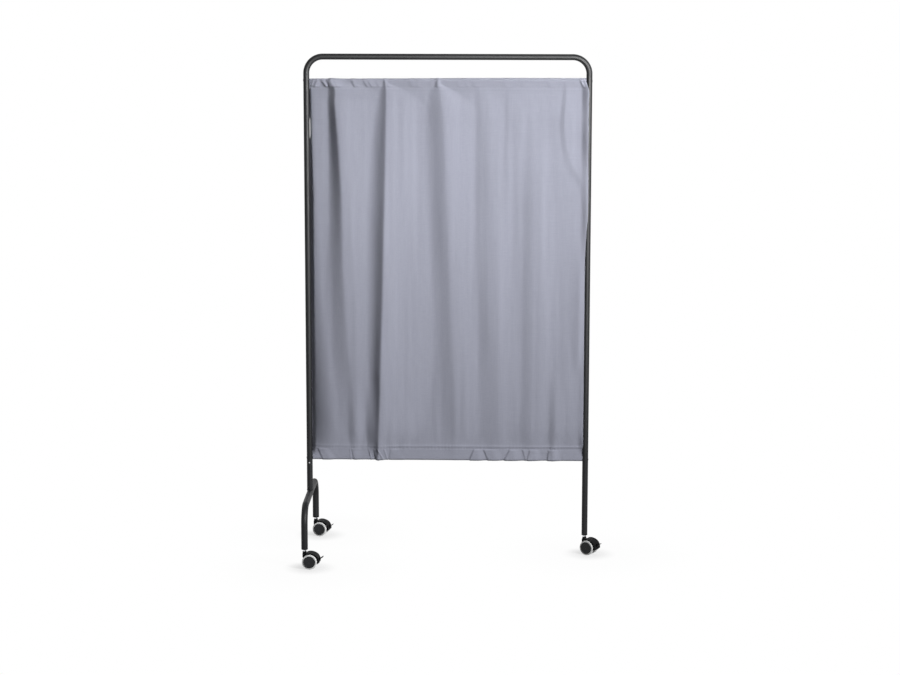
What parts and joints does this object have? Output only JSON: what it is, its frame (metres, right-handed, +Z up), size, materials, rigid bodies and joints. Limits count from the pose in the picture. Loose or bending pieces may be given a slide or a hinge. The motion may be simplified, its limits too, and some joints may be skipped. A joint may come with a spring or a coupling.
{
  "type": "privacy screen",
  "caption": "Tall single-panel ward privacy screen: a bent tube frame with a cloth curtain, on a bent foot tube and braked twin-wheel castors.",
  "frame": {"origin": "on the floor, under the middle of the whole screen's box", "axes": "+Z up, +X along the curtain from the two-castor foot to the single castor, and the front of the curtain looks along -Y"},
  "size_m": [1.0106, 0.4954, 1.7],
  "materials": {
    "frame_paint": "semi-gloss powder coat, near black",
    "bright_steel": "bright zinc",
    "spring_steel": "plain drawn steel",
    "black_nylon": "satin moulded nylon, black",
    "hub_plastic": "satin moulded nylon, dark grey",
    "grey_tyre": "soft light grey tread",
    "curtain_fabric": "plain woven polyester, lilac grey"
  },
  "bodies": {
    "frame": {"frame_hoop": "frame_paint", "foot_arch": "frame_paint", "foot_screw_low": "frame_paint", "foot_screw_high": "bright_steel", "top_rod": "bright_steel", "bottom_rod": "bright_steel", "top_left_bush": "black_nylon", "top_left_screw": "frame_paint", "top_right_bush": "black_nylon", "top_right_screw": "frame_paint", "bottom_left_bush": "black_nylon", "bottom_left_screw": "frame_paint", "bottom_right_bush": "black_nylon", "bottom_right_screw": "frame_paint", "curtain": "curtain_fabric", "front_end_fitting": "black_nylon", "front_stem": "bright_steel", "front_grip_ring": "spring_steel", "back_end_fitting": "black_nylon", "back_stem": "bright_steel", "back_grip_ring": "spring_steel", "right_end_fitting": "black_nylon", "right_stem": "bright_steel", "right_grip_ring": "spring_steel"},
    "front_castor": {"front_hood": "black_nylon", "front_axle": "spring_steel", "front_pedal_pin": "spring_steel"},
    "front_pedal": {"front_brake_pedal": "black_nylon"},
    "front_near_wheel": {"front_near_tyre": "grey_tyre", "front_near_hub": "hub_plastic", "front_near_cap": "hub_plastic"},
    "front_far_wheel": {"front_far_tyre": "grey_tyre", "front_far_hub": "hub_plastic", "front_far_cap": "hub_plastic"},
    "back_castor": {"back_hood": "black_nylon", "back_axle": "spring_steel", "back_pedal_pin": "spring_steel"},
    "back_pedal": {"back_brake_pedal": "black_nylon"},
    "back_near_wheel": {"back_near_tyre": "grey_tyre", "back_near_hub": "hub_plastic", "back_near_cap": "hub_plastic"},
    "back_far_wheel": {"back_far_tyre": "grey_tyre", "back_far_hub": "hub_plastic", "back_far_cap": "hub_plastic"},
    "right_castor": {"right_hood": "black_nylon", "right_axle": "spring_steel", "right_pedal_pin": "spring_steel"},
    "right_pedal": {"right_brake_pedal": "black_nylon"},
    "right_near_wheel": {"right_near_tyre": "grey_tyre", "right_near_hub": "hub_plastic", "right_near_cap": "hub_plastic"},
    "right_far_wheel": {"right_far_tyre": "grey_tyre", "right_far_hub": "hub_plastic", "right_far_cap": "hub_plastic"}
  },
  "joints": [
    {"name": "front_swivel", "type": "hinge", "parent": "frame", "child": "front_castor", "pos_m": [-0.49279, -0.22108, 0.05], "axis": [0, 0, 1], "continuous": true},
    {"name": "front_near_roll", "type": "hinge", "parent": "front_castor", "child": "front_near_wheel", "pos_m": [-0.47433, -0.22237, 0.025], "axis": [0.0698, 0.9976, 0], "continuous": true},
    {"name": "front_far_roll", "type": "hinge", "parent": "front_castor", "child": "front_far_wheel", "pos_m": [-0.47433, -0.22237, 0.025], "axis": [0.0698, 0.9976, 0], "continuous": true},
    {"name": "front_brake", "type": "hinge", "parent": "front_castor", "child": "front_pedal", "pos_m": [-0.45052, -0.22403, 0.02751], "axis": [0.0698, 0.9976, 0], "range_deg": [0, 6]},
    {"name": "back_swivel", "type": "hinge", "parent": "frame", "child": "back_castor", "pos_m": [-0.49279, 0.22392, 0.05], "axis": [0, 0, 1], "continuous": true},
    {"name": "back_near_roll", "type": "hinge", "parent": "back_castor", "child": "back_near_wheel", "pos_m": [-0.47469, 0.22008, 0.025], "axis": [0.2079, 0.9781, 0], "continuous": true},
    {"name": "back_far_roll", "type": "hinge", "parent": "back_castor", "child": "back_far_wheel", "pos_m": [-0.47469, 0.22008, 0.025], "axis": [0.2079, 0.9781, 0], "continuous": true},
    {"name": "back_brake", "type": "hinge", "parent": "back_castor", "child": "back_pedal", "pos_m": [-0.45134, 0.21511, 0.02751], "axis": [0.2079, 0.9781, 0], "range_deg": [0, 6]},
    {"name": "right_swivel", "type": "hinge", "parent": "frame", "child": "right_castor", "pos_m": [0.44721, 0.00142, 0.05], "axis": [0, 0, 1], "continuous": true},
    {"name": "right_near_roll", "type": "hinge", "parent": "right_castor", "child": "right_near_wheel", "pos_m": [0.46307, -0.0081, 0.025], "axis": [0.515, 0.8572, 0], "continuous": true},
    {"name": "right_far_roll", "type": "hinge", "parent": "right_castor", "child": "right_far_wheel", "pos_m": [0.46307, -0.0081, 0.025], "axis": [0.515, 0.8572, 0], "continuous": true},
    {"name": "right_brake", "type": "hinge", "parent": "right_castor", "child": "right_pedal", "pos_m": [0.48353, -0.0204, 0.02751], "axis": [0.515, 0.8572, 0], "range_deg": [0, 6]}
  ]
}
